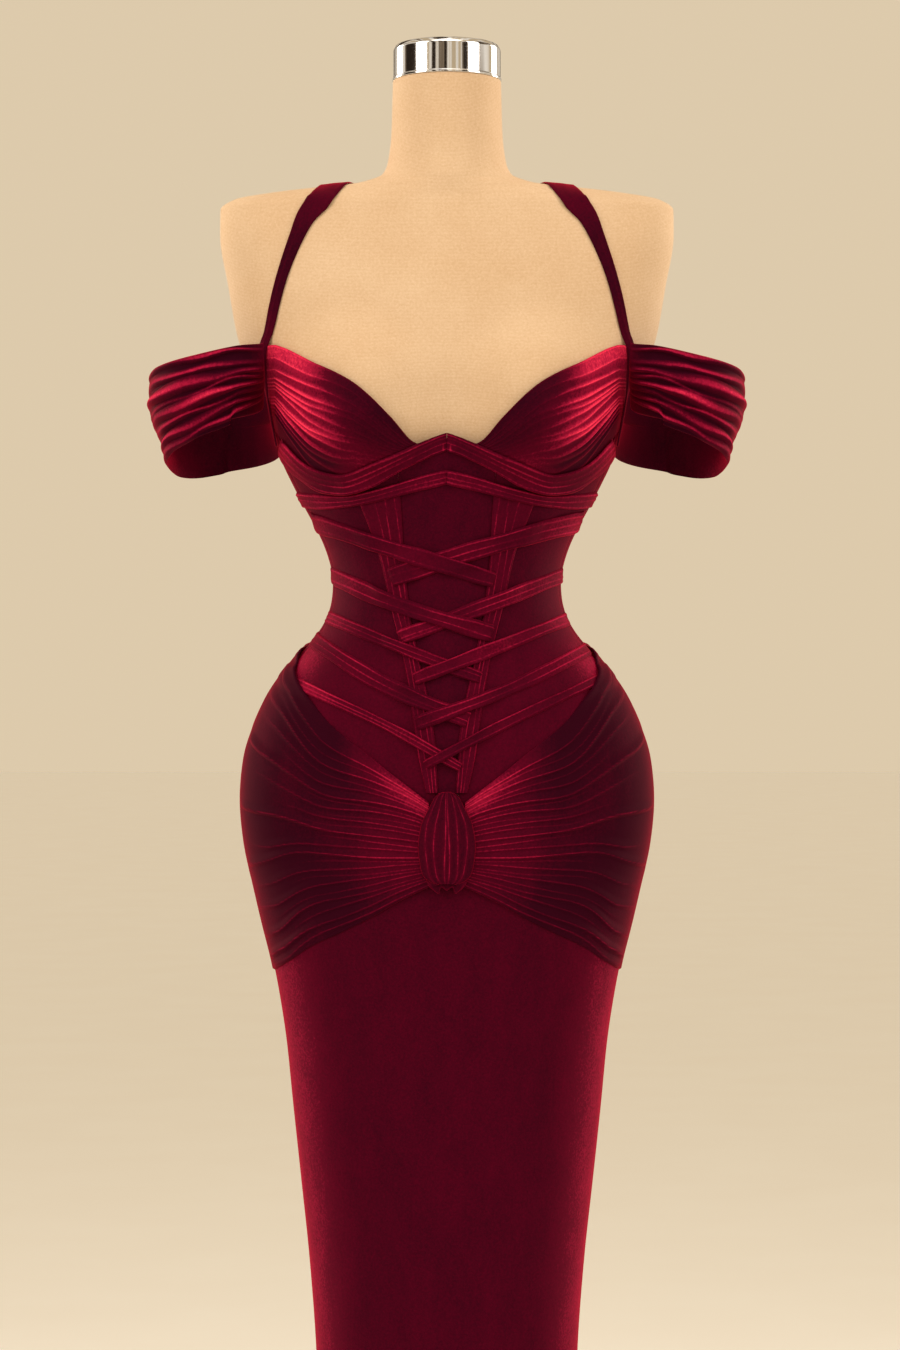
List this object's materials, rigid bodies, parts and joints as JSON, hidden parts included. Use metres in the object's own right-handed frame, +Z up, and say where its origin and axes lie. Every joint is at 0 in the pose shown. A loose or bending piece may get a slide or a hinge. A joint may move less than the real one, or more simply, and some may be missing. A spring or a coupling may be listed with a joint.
{
  "type": "evening dress on a limbless dress form",
  "caption": "Fitted velvet evening dress with off-shoulder sleeve bands, laced bodice and knotted hip drape, on a limbless dress form with a round stand.",
  "frame": {"origin": "on the floor, under the centre of the stand's round base", "axes": "+Z up; the dress faces -Y; +X is the viewer's right"},
  "size_m": [0.5572, 0.379, 1.581],
  "materials": {
    "velvet": "dark red stretch velvet, soft nap",
    "form_linen": "tan linen drawn tight over the form",
    "cap_chrome": "polished chrome",
    "stand_metal": "satin black paint"
  },
  "bodies": {
    "root": {"corset_centre_front": "velvet", "corset_side_front_left": "velvet", "corset_side_front_right": "velvet", "corset_back_left": "velvet", "corset_back_right": "velvet", "cup_left": "velvet", "cup_right": "velvet", "strip_left": "velvet", "strip_right": "velvet", "underbust_band_left": "velvet", "underbust_band_right": "velvet", "underbust_wrap_left": "velvet", "underbust_wrap_right": "velvet", "hip_drape_left": "velvet", "hip_drape_right": "velvet", "hip_drape_back_left": "velvet", "hip_drape_back_right": "velvet", "strap_left": "velvet", "strap_right": "velvet", "sleeve_left": "velvet", "sleeve_right": "velvet", "lacing_1_left": "velvet", "lacing_1_right": "velvet", "lacing_2_left": "velvet", "lacing_2_right": "velvet", "lacing_3_left": "velvet", "lacing_3_right": "velvet", "lacing_4_left": "velvet", "lacing_4_right": "velvet", "lacing_5_left": "velvet", "lacing_5_right": "velvet", "knot_loop": "velvet", "skirt_front": "velvet", "skirt_back": "velvet", "form_torso": "form_linen", "form_neck_cap": "cap_chrome", "stand_pole": "stand_metal", "stand_base": "stand_metal"}
  },
  "joints": []
}
